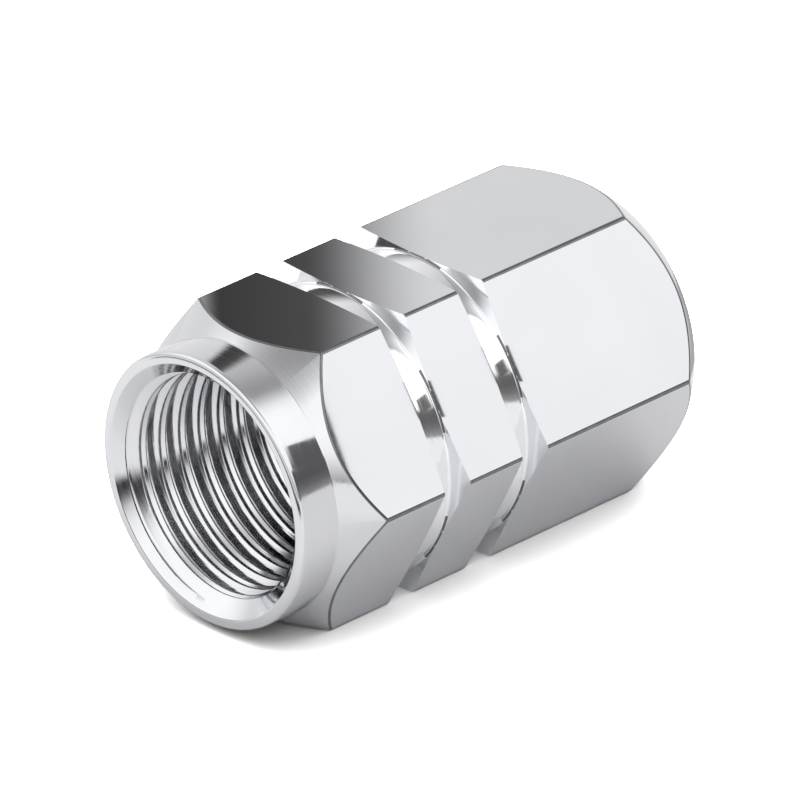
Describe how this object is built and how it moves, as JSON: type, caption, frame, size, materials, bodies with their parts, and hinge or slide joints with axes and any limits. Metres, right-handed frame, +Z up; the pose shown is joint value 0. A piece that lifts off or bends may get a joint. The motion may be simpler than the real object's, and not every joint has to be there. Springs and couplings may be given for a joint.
{
  "type": "tyre valve cap",
  "caption": "Hexagonal metal cap that screws onto a tyre valve stem and seals it, with a round collar at the threaded mouth and turned grip grooves.",
  "frame": {"origin": "on the floor under the middle of the cap, which lies on one flat of its hexagon", "axes": "Y along the axis of the cap, with the mouth facing -Y and the head +Y, and Z up, square to the flat that it lies on"},
  "size_m": [0.0108, 0.0164, 0.0093],
  "materials": {
    "polished_metal": "bright polished",
    "seal_rubber": "matte"
  },
  "bodies": {
    "root": {"cap_body": "polished_metal", "seal_washer": "seal_rubber"}
  },
  "joints": []
}
